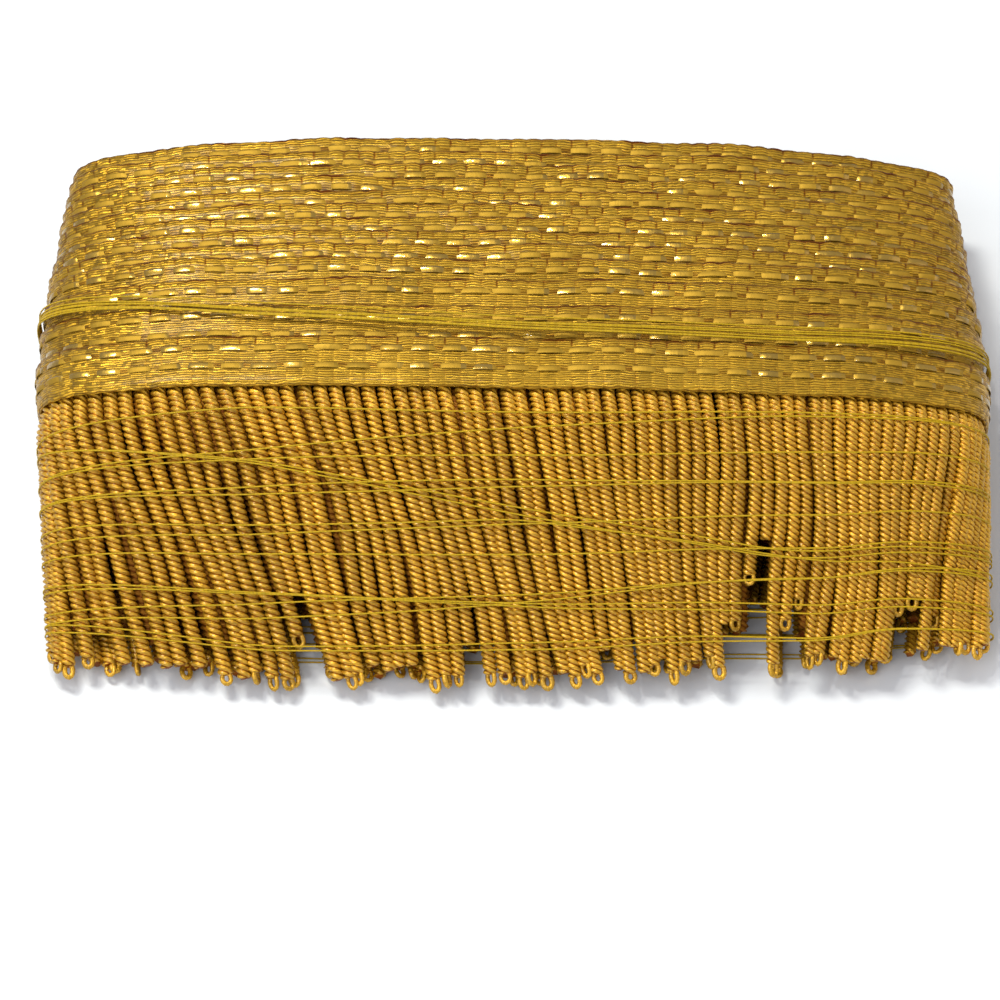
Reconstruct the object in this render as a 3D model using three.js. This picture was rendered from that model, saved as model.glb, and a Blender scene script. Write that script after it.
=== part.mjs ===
import * as THREE from 'three';

// Bullion fringe trim: a woven metallic heading with a skirt of twisted cords, wound turn on turn
// into a flat oval bundle that lies on a table. Every turn sits a step behind the one around it, so
// the outermost heading shows whole and the others show as rows behind it.
// Millimetres. +X runs along the bundle, +Y points away from the cord tips, +Z is up.

// Bundle
const BUNDLE_WIDTH = 166;
const BUNDLE_HEIGHT = 36;
const WIDEST_AT = 0.45;          // share of its height at which a turn is widest
const SQUARENESS_NEAR = 3.3;     // exponent of the oval's upper part, at the outermost turn
const SQUARENESS_FAR = 2.6;      // the same at the innermost turn
const SQUARENESS_BELOW = 5;      // the same for the lower part of every turn
const FLAT_SPOT = 0.35;          // what comes this near the table lies flat on it
const SKEW = 1.75;               // the right end of a turn sits this far forward, the left end back
const LEAN = 12;                 // the underside of the outermost turn sits this far behind its top

// Turns of the heading
const TURNS = 13;
const TURN_NARROWING = 0.27;
const TURN_DROP = 0.9;
const TAPE_WIDTH = 10.5;
const STRIP_RISE = 0.8;          // the far edge of a heading stands this much above its near side
const STEP_RUN = 0.4;            // each step down to the next turn takes this much depth
const COIL_STEPS = 3;            // the far end is dished: its inner turns sit deeper, in steps
const COIL_STEP_INSET = 2.7;
const COIL_STEP_DEPTH = 0.9;

// How far each turn's near edge lies behind the outermost one's. The first steps are the widest.
const TURN_BACK = [
  { turn: 0, back: 0.0 },
  { turn: 1, back: 8.0 },
  { turn: 2, back: 14.6 },
  { turn: 3, back: 20.2 },
  { turn: 12, back: 55.3 },
];

// Skirt
const CORD_LENGTH = 51;
const STRAND_COUNT = 132;
const STRAND_WIDTH = 1.95;
const STRAND_THICKNESS = 2.1;
const TIP_HEIGHT = 4.8;
const TIP_HALF_WIDTH = 81;
const TIPS_TO_THE_RIGHT = 1.5;
const CLEARANCE = 0.35;
const CORE_CLEARANCE = 0.6;
const BACKING_WIDTH = 1.6;
const LENGTH_SPREAD = 0.05;
const SHORT_STRAND_EVERY = 9;
const SHORT_STRAND_LOSS = 0.12;
const LEAST_SEGMENT = 0.05;      // no cross-section stands nearer than this share to a strand's tip
const STRAND_SEED = 20731;

// Slope of the skirt's top, in degrees below level, at shares of the cord's length
const SKIRT_SLOPE = [
  { along: 0.0, slope: 16 },
  { along: 0.15, slope: 34 },
  { along: 0.5, slope: 44 },
  { along: 0.8, slope: 42 },
  { along: 1.0, slope: 26 },
];

// How far the tips of the top cords slide to the right of their roots, across the bundle's width.
// Under the bundle's ends the slide fades out over SLIDE_FADE of the way round.
const TIP_SLIDE = [
  { across: -1.0, slide: 2.0 },
  { across: -0.8, slide: 7.0 },
  { across: -0.5, slide: 8.0 },
  { across: 0.0, slide: 8.0 },
  { across: 0.15, slide: 7.5 },
  { across: 0.3, slide: 5.0 },
  { across: 0.45, slide: 3.2 },
  { across: 0.7, slide: 3.0 },
  { across: 0.8, slide: 1.5 },
  { across: 1.0, slide: -1.0 },
];

const SLIDE_FADE = 0.05;

// The share of their length by which the cords end early, across the bundle's width
const TIP_LOSS = [
  { across: -1.0, loss: 0.07 },
  { across: -0.6, loss: 0.02 },
  { across: -0.2, loss: 0.03 },
  { across: 0.1, loss: 0.045 },
  { across: 0.4, loss: 0.085 },
  { across: 0.7, loss: 0.1 },
  { across: 0.8, loss: 0.15 },
  { across: 1.0, loss: 0.17 },
];

// Fineness
const COLUMNS = 72;
const SECTION_SAMPLES = 720;
const SLOPE_STEPS = 60;
const NORMAL_REACH = 2;
const CORE_STATIONS = [0, 0.2, 0.45, 0.7, 0.86];
const STRAND_STATIONS = CORE_STATIONS.slice(1);

const GOLD_HEADING = 0xc99a35;
const GOLD_CORD = 0xb8862c;
const GOLD_INNER_CORD = 0x8a5a1c;
const METALNESS = 0.6;

const HALF_WIDTH = BUNDLE_WIDTH / 2;
const ROLL_DEPTH = TAPE_WIDTH + TURN_BACK[TURN_BACK.length - 1].back;
const { clamp, degToRad, lerp } = THREE.MathUtils;

// The value that a table gives at a place between two of its rows.
function between(table, key, value, at) {
  const last = table.length - 1;
  if (at <= table[0][key]) return table[0][value];
  if (at >= table[last][key]) return table[last][value];
  const next = table.findIndex((row) => row[key] >= at);
  const low = table[next - 1];
  const high = table[next];
  return lerp(low[value], high[value], (at - low[key]) / (high[key] - low[key]));
}

// A linear congruential generator, so that every build draws the same lengths.
function seededRandom(seed) {
  const multiplier = 1664525;
  const increment = 1013904223;
  const modulus = 2 ** 32;
  let state = seed;
  return () => {
    state = (state * multiplier + increment) % modulus;
    return state / modulus;
  };
}

// A closed section from a list of points. u runs once round it in equal steps of length, from the
// middle of the underside (0) by the right end and the top (0.5) to the left end.
function sectionThrough(points, height) {
  const lengths = [0];
  for (let i = 1; i < points.length; i += 1) {
    const step = Math.hypot(points[i].x - points[i - 1].x, points[i].z - points[i - 1].z);
    lengths.push(lengths[i - 1] + step);
  }
  const girth = lengths[points.length - 1];

  function pointAt(u) {
    const wanted = (u - Math.floor(u)) * girth;
    let low = 0;
    let high = points.length - 1;
    while (high - low > 1) {
      const middle = (low + high) >> 1;
      if (lengths[middle] <= wanted) low = middle;
      else high = middle;
    }
    const share = (wanted - lengths[low]) / (lengths[high] - lengths[low]);
    return {
      x: lerp(points[low].x, points[high].x, share),
      z: lerp(points[low].z, points[high].z, share),
    };
  }

  // A place on the section, with the way that faces out of it.
  function at(u) {
    const here = pointAt(u);
    const before = pointAt(u - NORMAL_REACH / girth);
    const after = pointAt(u + NORMAL_REACH / girth);
    const outward = new THREE.Vector3(after.z - before.z, 0, before.x - after.x).normalize();
    if (here.z === 0) outward.set(0, 0, -1);
    return { place: new THREE.Vector3(here.x, 0, here.z), outward };
  }

  return { at, girth, height };
}

// A superellipse, flattened where it lies on the table.
function ovalSection(halfWidth, height, squareness) {
  const level = height * WIDEST_AT;
  const points = [];
  for (let i = 0; i <= SECTION_SAMPLES; i += 1) {
    const turn = (i / SECTION_SAMPLES) * 2 * Math.PI - Math.PI / 2;
    const across = Math.cos(turn);
    const up = Math.sin(turn);
    const power = 2 / (up < 0 ? SQUARENESS_BELOW : squareness);
    const reach = up < 0 ? level : height - level;
    const x = halfWidth * Math.sign(across) * Math.abs(across) ** power;
    const z = level + reach * Math.sign(up) * Math.abs(up) ** power;
    points.push({ x, z: z < FLAT_SPOT ? 0 : z });
  }
  return sectionThrough(points, height);
}

// A flat strip with half-round ends, for the cord tips.
function flatSection(halfWidth, height) {
  const radius = height / 2;
  const straight = halfWidth - radius;
  const points = [{ x: 0, z: 0 }];
  [1, -1].forEach((side) => {
    for (let i = 0; i <= SECTION_SAMPLES / 2; i += 1) {
      const turn = side * ((i / (SECTION_SAMPLES / 2)) * Math.PI - Math.PI / 2);
      points.push({ x: side * (straight + radius * Math.cos(turn)), z: radius + radius * Math.sin(turn) });
    }
  });
  points.push({ x: 0, z: 0 });
  return sectionThrough(points, height);
}

// back is how far a place on the top lies behind the outermost heading's near edge, and lean is how
// much further back the underside lies.
function setBack(place, height, back, lean) {
  place.y = back + lean * (1 - place.z / height) - SKEW * (place.x / HALF_WIDTH);
  return place;
}

function everyColumn(placeAt) {
  return Array.from({ length: COLUMNS }, (_, i) => placeAt(i / COLUMNS));
}

function geometryFrom(vertices, triangles) {
  const geometry = new THREE.BufferGeometry();
  const positions = vertices.flatMap((vertex) => [vertex.x, vertex.y, vertex.z]);
  geometry.setAttribute('position', new THREE.Float32BufferAttribute(positions, 3));
  geometry.setIndex(triangles);
  return geometry;
}

function quad(triangles, a, b, c, d) {
  triangles.push(a, b, c, a, c, d);
}

function centreOf(ring) {
  const centre = new THREE.Vector3();
  ring.forEach((vertex) => centre.add(vertex));
  return centre.divideScalar(ring.length);
}

// A solid skinned over rings that run from the far end to the near end, closed at both ends.
function loft(rings) {
  const sides = rings[0].length;
  const vertices = rings.flat();
  const triangles = [];
  const lastRing = (rings.length - 1) * sides;
  const farCentre = vertices.push(centreOf(rings[0])) - 1;
  const nearCentre = vertices.push(centreOf(rings[rings.length - 1])) - 1;
  for (let i = 0; i < sides; i += 1) {
    const j = (i + 1) % sides;
    for (let far = 0; far < lastRing; far += sides) {
      const near = far + sides;
      quad(triangles, far + i, far + j, near + j, near + i);
    }
    triangles.push(farCentre, j, i);
    triangles.push(nearCentre, lastRing + i, lastRing + j);
  }
  return geometryFrom(vertices, triangles);
}

function headingSection(turn, rise) {
  const halfWidth = HALF_WIDTH - TURN_NARROWING * turn - rise / 2;
  const height = BUNDLE_HEIGHT - TURN_DROP * turn - rise;
  return ovalSection(halfWidth, height, lerp(SQUARENESS_NEAR, SQUARENESS_FAR, turn / (TURNS - 1)));
}

function headingRing(section, inset, back) {
  const lean = LEAN * (1 - back / ROLL_DEPTH);
  return everyColumn((u) => {
    const { place, outward } = section.at(u);
    place.addScaledVector(outward, -inset);
    return setBack(place, section.height, back, lean);
  });
}

// The dished far end of the roll, from its eye outwards.
function coilEnd() {
  const section = headingSection(TURNS - 1, 0);
  const rings = [];
  for (let step = COIL_STEPS; step > 0; step -= 1) {
    const inset = COIL_STEP_INSET * step;
    rings.push(headingRing(section, inset, ROLL_DEPTH - COIL_STEP_DEPTH * step));
    rings.push(headingRing(section, inset, ROLL_DEPTH - COIL_STEP_DEPTH * (step - 1)));
  }
  return rings;
}

function farEdgeOf(turn) {
  return TAPE_WIDTH + between(TURN_BACK, 'turn', 'back', turn);
}

function headingRoll() {
  const rings = coilEnd();
  for (let turn = TURNS - 1; turn >= 0; turn -= 1) {
    const farEdge = farEdgeOf(turn);
    const nearEdge = turn === 0 ? 0 : farEdgeOf(turn - 1) + STEP_RUN;
    rings.push(headingRing(headingSection(turn, 0), 0, farEdge));
    rings.push(headingRing(headingSection(turn, STRIP_RISE), 0, nearEdge));
  }
  return loft(rings);
}

// How far a cord on the skirt's top has run forward and dropped at a share of its length.
function skirtPath(along) {
  let run = 0;
  let drop = 0;
  for (let i = 0; i < SLOPE_STEPS; i += 1) {
    const slope = degToRad(between(SKIRT_SLOPE, 'along', 'slope', (along * (i + 0.5)) / SLOPE_STEPS));
    run += ((CORD_LENGTH * along) / SLOPE_STEPS) * Math.cos(slope);
    drop += ((CORD_LENGTH * along) / SLOPE_STEPS) * Math.sin(slope);
  }
  return { run, drop };
}

const rootSection = headingSection(0, STRIP_RISE);
const tipSection = flatSection(TIP_HALF_WIDTH, TIP_HEIGHT);
const wholeDrop = skirtPath(1).drop;

// A place on the skirt: every cord runs from its u on the root section to its u on the tip section,
// and the whole falls along SKIRT_SLOPE on the top while its underside lies level on the table.
function skirtPlace(along, u, inset) {
  const { run, drop } = skirtPath(along);
  const share = drop / wholeDrop;
  const root = rootSection.at(u);
  const tip = tipSection.at(u);
  const place = root.place.lerp(tip.place, share);
  const outward = root.outward.lerp(tip.outward, share).normalize();
  place.x += TIPS_TO_THE_RIGHT * along;
  place.addScaledVector(outward, -inset);
  const height = lerp(rootSection.height, TIP_HEIGHT, share);
  return setBack(place, height, -CLEARANCE - run, LEAN - CORD_LENGTH * along + run);
}

function acrossAt(u) {
  return rootSection.at(u).place.x / HALF_WIDTH;
}

// The share of its length that a cord keeps.
function reachAt(u) {
  return 1 - between(TIP_LOSS, 'across', 'loss', acrossAt(u));
}

// The packed cords of all the turns inside the outermost one.
function skirtCore() {
  const inset = STRAND_THICKNESS + CORE_CLEARANCE;
  return loft(CORE_STATIONS.map((along) => everyColumn((u) => skirtPlace(along * reachAt(u), u, inset))));
}

function tipSlide(u) {
  const fromUnderside = Math.min(u, 1 - u);
  const fade = clamp(1 - (0.25 - fromUnderside) / SLIDE_FADE, 0, 1);
  return (-between(TIP_SLIDE, 'across', 'slide', acrossAt(u)) / tipSection.girth) * fade;
}

// The cross-sections of one strand below its root, in order towards its tip.
function strandRings(middle, endAlong) {
  const halfWidth = STRAND_WIDTH / 2 / tipSection.girth;
  const stations = STRAND_STATIONS.map((along) => along * reachAt(middle))
    .filter((along) => along < endAlong - LEAST_SEGMENT);
  return [...stations, endAlong].map((along) => {
    const u = middle + tipSlide(middle) * along;
    const outer = [skirtPlace(along, u - halfWidth, 0), skirtPlace(along, u + halfWidth, 0)];
    const inner = [u + halfWidth, u - halfWidth].map((edge) => skirtPlace(along, edge, STRAND_THICKNESS));
    return [...outer, ...inner];
  });
}

// The outermost turn's cords: strands that stand apart, their roots in one narrow backing strip.
// The strip has a column of corners at each side of every strand, so the strands grow out of it.
function bullionOuter() {
  const random = seededRandom(STRAND_SEED);
  const halfStrand = STRAND_WIDTH / 2 / rootSection.girth;
  const middles = Array.from({ length: STRAND_COUNT }, (_, i) => (i + 0.5) / STRAND_COUNT);
  const columns = middles.flatMap((u) => [u - halfStrand, u + halfStrand]);
  const farOuterEdge = columns.map((u) => skirtPlace(0, u, 0));
  const farInnerEdge = columns.map((u) => skirtPlace(0, u, STRAND_THICKNESS));
  const towardsTips = new THREE.Vector3(0, -BACKING_WIDTH, 0);
  const moved = (edge) => edge.map((vertex) => vertex.clone().add(towardsTips));
  const edges = [farOuterEdge, moved(farOuterEdge), moved(farInnerEdge), farInnerEdge];
  const vertices = edges.flat();
  const triangles = [];
  const total = columns.length;
  const [farOuter, nearOuter, nearInner, farInner] = edges.map((_, edge) => edge * total);

  for (let c = 0; c < total; c += 1) {
    const next = (c + 1) % total;
    const isGap = c % 2 === 1;
    quad(triangles, farOuter + c, farOuter + next, nearOuter + next, nearOuter + c);
    quad(triangles, nearInner + c, nearInner + next, farInner + next, farInner + c);
    quad(triangles, farInner + c, farInner + next, farOuter + next, farOuter + c);
    if (isGap) quad(triangles, nearOuter + c, nearOuter + next, nearInner + next, nearInner + c);
  }

  middles.forEach((u, i) => {
    const isShort = i % SHORT_STRAND_EVERY === SHORT_STRAND_EVERY - 1;
    const ownLoss = LENGTH_SPREAD * random() + (isShort ? SHORT_STRAND_LOSS * random() : 0);
    const left = 2 * i;
    let above = [nearOuter + left, nearOuter + left + 1, nearInner + left + 1, nearInner + left];
    strandRings(u, reachAt(u) - ownLoss).forEach((corners) => {
      const first = vertices.push(...corners) - corners.length;
      const below = corners.map((_, corner) => first + corner);
      below.forEach((_, corner) => {
        const next = (corner + 1) % corners.length;
        quad(triangles, above[corner], above[next], below[next], below[corner]);
      });
      above = below;
    });
    quad(triangles, ...above);
  });
  return geometryFrom(vertices, triangles);
}

function part(name, geometry, color, roughness) {
  const material = new THREE.MeshStandardMaterial({ color, roughness, metalness: METALNESS });
  const mesh = new THREE.Mesh(geometry, material);
  mesh.name = name;
  return mesh;
}

const bundle = new THREE.Group();
bundle.add(part('heading_roll', headingRoll(), GOLD_HEADING, 0.45));
bundle.add(part('skirt_core', skirtCore(), GOLD_INNER_CORD, 0.6));
bundle.add(part('bullion_outer', bullionOuter(), GOLD_CORD, 0.5));

// The origin is the middle of the footprint, on the table.
const box = new THREE.Box3().setFromObject(bundle, true);
const middle = box.getCenter(new THREE.Vector3());
bundle.position.set(-middle.x, -middle.y, -box.min.z);

export default bundle;
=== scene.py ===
import math
from functools import partial

import bpy
import numpy as np
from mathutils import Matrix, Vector


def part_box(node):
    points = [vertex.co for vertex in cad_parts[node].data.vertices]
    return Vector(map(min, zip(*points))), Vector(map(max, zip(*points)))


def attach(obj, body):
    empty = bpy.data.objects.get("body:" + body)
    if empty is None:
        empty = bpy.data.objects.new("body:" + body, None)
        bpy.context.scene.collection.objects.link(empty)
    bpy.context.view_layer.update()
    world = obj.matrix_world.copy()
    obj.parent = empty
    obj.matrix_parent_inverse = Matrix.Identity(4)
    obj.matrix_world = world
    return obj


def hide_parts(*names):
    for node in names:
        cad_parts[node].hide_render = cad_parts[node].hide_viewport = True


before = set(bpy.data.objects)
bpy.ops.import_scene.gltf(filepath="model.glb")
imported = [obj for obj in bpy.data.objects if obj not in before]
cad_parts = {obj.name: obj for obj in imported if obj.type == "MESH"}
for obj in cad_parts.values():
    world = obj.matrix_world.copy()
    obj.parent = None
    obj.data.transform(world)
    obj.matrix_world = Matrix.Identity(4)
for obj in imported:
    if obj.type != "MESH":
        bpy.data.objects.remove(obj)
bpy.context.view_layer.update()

bl_info = {
    "name": "Bullion fringe bundle",
    "version": (1, 0, 0),
    "blender": (4, 5, 0),
    "location": "View3D > Sidebar > Fringe",
    "description": "Makes a wound bundle of bullion fringe: heading, cords and holding threads",
    "category": "Object",
}

MM = 0.001

# The bundle, in millimetres and with the CAD's values. +Y points away from the cord tips.
HALF_WIDTH = 83.0
BUNDLE_HEIGHT = 36.0
WIDEST_AT = 0.45
SQUARENESS_NEAR = 3.3
SQUARENESS_FAR = 2.6
SQUARENESS_BELOW = 5.0
FLAT_SPOT = 0.35
SKEW = 1.75
LEAN = 12.0
TURNS = 13
TURN_NARROWING = 0.27
TURN_DROP = 0.9
TAPE_WIDTH = 10.5
STRIP_RISE = 0.8

# Turn, and how far its near edge lies behind the outermost one's in mm
TURN_BACK = ((0, 0.0), (1, 8.0), (2, 14.6), (3, 20.2), (12, 55.3))
ROLL_DEPTH = TAPE_WIDTH + TURN_BACK[-1][1]

# The winding goes on inwards from here as a flat coil.
COIL_FROM = TURNS - 0.5
COIL_PITCH = 1.8
COIL_END = 18.9
COIL_DISH = 0.33

# The skirt of cords
CORD_LENGTH = 51.0
TIP_HEIGHT = 4.8
TIP_HALF_WIDTH = 81.0
TIPS_TO_THE_RIGHT = 1.5
CLEARANCE = 0.35

# Share of the cord's length, and the slope of the skirt's top below level in degrees
SKIRT_SLOPE = ((0.0, 16), (0.15, 34), (0.5, 44), (0.8, 42), (1.0, 26))

# Place across the bundle from left (-1) to right (1), and how far the tips slide to the right in mm
TIP_SLIDE = (
    (-1.0, 2.0), (-0.8, 7.0), (-0.5, 8.0), (0.0, 8.0), (0.15, 7.5), (0.3, 5.0), (0.45, 3.2), (0.7, 3.0),
    (0.8, 1.5), (1.0, -1.0))
SLIDE_FADE = 0.05

# Place across the bundle, and how far the middle of the cords bows to the right in mm
CORD_BOW = ((-1.0, 0.0), (-0.6, 0.5), (0.0, -0.4), (0.45, 0.0), (0.65, 0.2), (0.82, 0.2), (1.0, 0.1))

# Place across the bundle, and the share of their length by which the cords end early
TIP_LOSS = (
    (-1.0, 0.07), (-0.6, 0.02), (-0.2, 0.03), (0.1, 0.045), (0.4, 0.085), (0.7, 0.1), (0.8, 0.15),
    (1.0, 0.17))

# Where the table shows between the tips: place across in mm, half width in mm and share lost
TIP_GAPS = (
    (-35.5, 2.6, 0.13), (-7.2, 1.8, 0.1), (15.7, 1.2, 0.09), (36.0, 1.5, 0.13), (40.6, 1.9, 0.26),
    (46.0, 1.0, 0.13), (64.0, 1.6, 0.18))

# How far the whole bundle is moved along Y, so that its footprint is centred
SHIFT_Y = (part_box("heading_roll")[1][1] / MM - ROLL_DEPTH
           - SKEW * (1 - TURN_NARROWING * (TURNS - 1) / HALF_WIDTH))

# Fineness of the sections, and how far to each side a direction is measured in mm
SECTION_SAMPLES = 720
SECTION_GRID = 1440
NORMAL_REACH = 2.0

# The weave, in mm: columns of short dashes and two flat metal strips
COLUMN_LENGTH = 2.7
RINGS_PER_COLUMN = 3
THREAD_PITCH = 0.5        # the real threads are too fine to show, so they are drawn this coarse
LAME_AT = (4.1, 7.9)
LAME_WIDTH = 1.35
LAME_PERIOD = 2 * COLUMN_LENGTH
LAME_STEPS = 8
LAME_HIDDEN_FROM = 3.4    # from this turn on, the near strip is hidden and left out
GLINT_LENGTH = 0.8
GLINT_STAGGER = 0.37      # share of its length by which a glint is shifted from one thread to the next


# Property groups: the sizes and colours that a user would change

class FringeHeadingSettings(bpy.types.PropertyGroup):
    thickness: bpy.props.FloatProperty(
        name="Thickness", description="Thickness of the woven heading",
        default=0.0012, unit="LENGTH")
    crown: bpy.props.FloatProperty(
        name="Crown", description="How far each column of threads bulges between its grooves",
        default=0.00004, precision=5, unit="LENGTH")
    scallop: bpy.props.FloatProperty(
        name="Scallop", description="How far each column stands out at the heading's edges",
        default=0.0002, precision=5, unit="LENGTH")
    wander: bpy.props.FloatProperty(
        name="Wander", description="How far the heading wanders from an even winding",
        default=0.00035, precision=5, unit="LENGTH")
    seed: bpy.props.IntProperty(
        name="Seed", description="Seed of the heading's unevenness", default=4127)


class FringeCordSettings(bpy.types.PropertyGroup):
    count: bpy.props.IntProperty(
        name="Cords", description="Cords round the outermost turn", default=148)
    inner_count: bpy.props.IntProperty(
        name="Inner cords", description="Cords round the turn inside it", default=128)
    diameter: bpy.props.FloatProperty(
        name="Diameter", description="Diameter of a twisted cord", default=0.00252, precision=5,
        unit="LENGTH")
    lead: bpy.props.FloatProperty(
        name="Lead", description="Length of one whole twist of the three plies", default=0.00308,
        precision=5, unit="LENGTH")
    spread: bpy.props.FloatProperty(
        name="Spread", description="How much wider the cords are spaced at the left end than at the right",
        default=0.56, subtype="FACTOR")
    wave: bpy.props.FloatProperty(
        name="Wave", description="How far a cord wanders sideways", default=0.0004,
        precision=5, unit="LENGTH")
    short_share: bpy.props.FloatProperty(
        name="Short cords", description="Share of cords that end early", default=0.09,
        subtype="FACTOR")
    seed: bpy.props.IntProperty(
        name="Seed", description="Seed of the cords' lengths and waves", default=20731)


class FringeThreadSettings(bpy.types.PropertyGroup):
    diameter: bpy.props.FloatProperty(
        name="Diameter", description="Diameter of a holding thread", default=0.0003, precision=5,
        unit="LENGTH")
    drift: bpy.props.FloatProperty(
        name="Drift", description="How far the second of two threads wound together drifts from the first",
        default=0.0008, precision=5, unit="LENGTH")
    band_count: bpy.props.IntProperty(
        name="Band threads", description="Threads in the band over the headings", default=8)
    seed: bpy.props.IntProperty(
        name="Seed", description="Seed of the threads' slack", default=977)


class FringeColourSettings(bpy.types.PropertyGroup):
    heading: bpy.props.StringProperty(
        name="Heading", description="Metallised thread of the heading, sRGB hex", default="a98424")
    cord: bpy.props.StringProperty(
        name="Cord", description="Metallised wrap of the cords, sRGB hex", default="cd9e2c")
    # Painted shade: the inner cords are a darker, redder copy of the cord gold, standing in for the shade
    # between the outer cords.
    inner_cord_painted_shade: bpy.props.StringProperty(
        name="Inner cord", description="Cords inside, seen in shadow between the outer ones, sRGB hex",
        default="805212")
    lame: bpy.props.StringProperty(
        name="Lame", description="Flat metal strip, sRGB hex", default="a4822a")
    # Painted shade: the deep maroon mixed into the weave's grooves and gaps, under the strips, along the
    # far edge and into the inner cords' grooves.
    shade: bpy.props.StringProperty(
        name="Shade", description="Core yarn that shows deep between the threads, sRGB hex",
        default="5c2604")
    # Painted shade: the maroon that the cords' grooves are mixed towards.
    cord_groove_shade: bpy.props.StringProperty(
        name="Cord core", description="Core yarn in the grooves of the cords, sRGB hex",
        default="803a04")
    holding: bpy.props.StringProperty(
        name="Holding thread", description="Spun thread wound round the bundle, sRGB hex",
        default="ac8c06")
    floor: bpy.props.StringProperty(
        name="Floor", description="Table under the bundle, sRGB hex", default="d2d6de")


class FringeStageSettings(bpy.types.PropertyGroup):
    elevation: bpy.props.FloatProperty(
        name="Elevation", description="Height of the camera above the horizon",
        default=math.radians(52), subtype="ANGLE")
    distance: bpy.props.FloatProperty(
        name="Distance", description="Distance from the camera to the bundle", default=0.9,
        unit="LENGTH")
    lens: bpy.props.FloatProperty(
        name="Lens", description="Focal length in millimetres", default=189.0)


# Sections

def oval_outline(half_width, height, squareness, lift):
    """A superellipse, flattened where it lies on the table."""
    level = height * WIDEST_AT
    turn = np.arange(SECTION_SAMPLES + 1) / SECTION_SAMPLES * 2 * math.pi - math.pi / 2
    across, up = np.cos(turn), np.sin(turn)
    power = np.where(up < 0, 2 / SQUARENESS_BELOW, 2 / squareness)
    reach = np.where(up < 0, level, height - level)
    x = half_width * np.sign(across) * np.abs(across) ** power
    z = level + reach * np.sign(up) * np.abs(up) ** power
    return x, np.where(z < FLAT_SPOT, 0, z) + lift


def flat_outline(half_width, height):
    """A flat strip with half-round ends."""
    radius = height / 2
    half = np.arange(SECTION_SAMPLES // 2 + 1) / (SECTION_SAMPLES // 2) * math.pi - math.pi / 2
    x = (half_width - radius) + radius * np.cos(half)
    z = radius + radius * np.sin(half)
    ends = np.zeros(1)
    return np.concatenate([ends, x, -x[::-1], ends]), np.concatenate([ends, z, z[::-1], ends])


def heading_outline(turn, rise, depth=0.0):
    """The outline of one turn of the heading, or of the coil inside the last one at a depth."""
    squareness = SQUARENESS_NEAR + (SQUARENESS_FAR - SQUARENESS_NEAR) * turn / (TURNS - 1)
    half_width = HALF_WIDTH - TURN_NARROWING * turn - rise / 2 - depth
    height = BUNDLE_HEIGHT - TURN_DROP * turn - rise - 2 * depth
    return oval_outline(half_width, height, squareness, depth)


class Sections:
    """Closed outlines, sampled in equal steps of u: 0 at the middle of the underside, then by the
    right end, the top (0.5) and the left end."""

    def __init__(self, outlines):
        rows = [self.sampled(x, z) for x, z in outlines]
        self.x, self.z, self.out_x, self.out_z = (np.array(column) for column in zip(*rows))
        self.girth = np.array([
            np.hypot(np.diff(x), np.diff(z)).sum() for x, z in outlines])

    def sampled(self, x, z):
        lengths = np.concatenate([[0], np.cumsum(np.hypot(np.diff(x), np.diff(z)))])
        wanted = np.arange(SECTION_GRID + 1) / SECTION_GRID * lengths[-1]

        def point(at):
            at = np.mod(at, lengths[-1])
            return np.interp(at, lengths, x), np.interp(at, lengths, z)

        here_x, here_z = point(wanted)
        before_x, before_z = point(wanted - NORMAL_REACH)
        after_x, after_z = point(wanted + NORMAL_REACH)
        out_x, out_z = after_z - before_z, before_x - after_x
        size = np.hypot(out_x, out_z)
        flat = here_z == here_z.min()
        return here_x, here_z, np.where(flat, 0, out_x / size), np.where(flat, -1, out_z / size)

    def at(self, row, u):
        """Place and outward direction at a row and u, both of which may lie between samples."""
        row = np.clip(row, 0, len(self.girth) - 1)
        low = np.minimum(row.astype(int), len(self.girth) - 2)
        part = row - low
        column = np.mod(u, 1) * SECTION_GRID
        left = np.minimum(column.astype(int), SECTION_GRID - 1)
        share = column - left

        def value(grid):
            near = grid[low, left] * (1 - share) + grid[low, left + 1] * share
            far = grid[low + 1, left] * (1 - share) + grid[low + 1, left + 1] * share
            return near * (1 - part) + far * part

        x, z, out_x, out_z = (value(g) for g in (self.x, self.z, self.out_x, self.out_z))
        size = np.hypot(out_x, out_z)
        return x, z, out_x / size, out_z / size


def between(table, at):
    return np.interp(at, [row[0] for row in table], [row[1] for row in table])


def placed(x, y, z):
    """Points in metres, in the shared frame, from millimetres in the bundle's own."""
    return np.stack([x, y + SHIFT_Y, np.maximum(z, 0)], axis=-1) * MM


def normalised(vectors):
    return vectors / np.linalg.norm(vectors, axis=-1, keepdims=True)


def smooth_noise(random, at, wavelengths):
    """An uneven wave of about unit size along a line."""
    total = np.zeros_like(at)
    for wavelength in wavelengths:
        total += np.sin(2 * math.pi * (at / wavelength + random.random()))
    return total / math.sqrt(len(wavelengths))


def smoothed(values, width):
    """A closed row of values, each the mean of its neighbours."""
    reach = width // 2
    return np.mean([np.roll(values, k) for k in range(-reach, reach + 1)], axis=0)


# The skirt

# How far a cord on top has run forward and dropped at each small step of its length, in mm
SLOPE_STEPS = 600
STEP_SHARES = np.arange(SLOPE_STEPS + 1) / SLOPE_STEPS
STEP_SLOPES = np.radians(between(SKIRT_SLOPE, (np.arange(SLOPE_STEPS) + 0.5) / SLOPE_STEPS))
RUN_TABLE = np.concatenate([[0], np.cumsum(np.cos(STEP_SLOPES))]) * CORD_LENGTH / SLOPE_STEPS
DROP_TABLE = np.concatenate([[0], np.cumsum(np.sin(STEP_SLOPES))]) * CORD_LENGTH / SLOPE_STEPS
SKIRT = Sections([heading_outline(0, STRIP_RISE), flat_outline(TIP_HALF_WIDTH, TIP_HEIGHT)])
TIP_GIRTH = SKIRT.girth[1]


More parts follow.
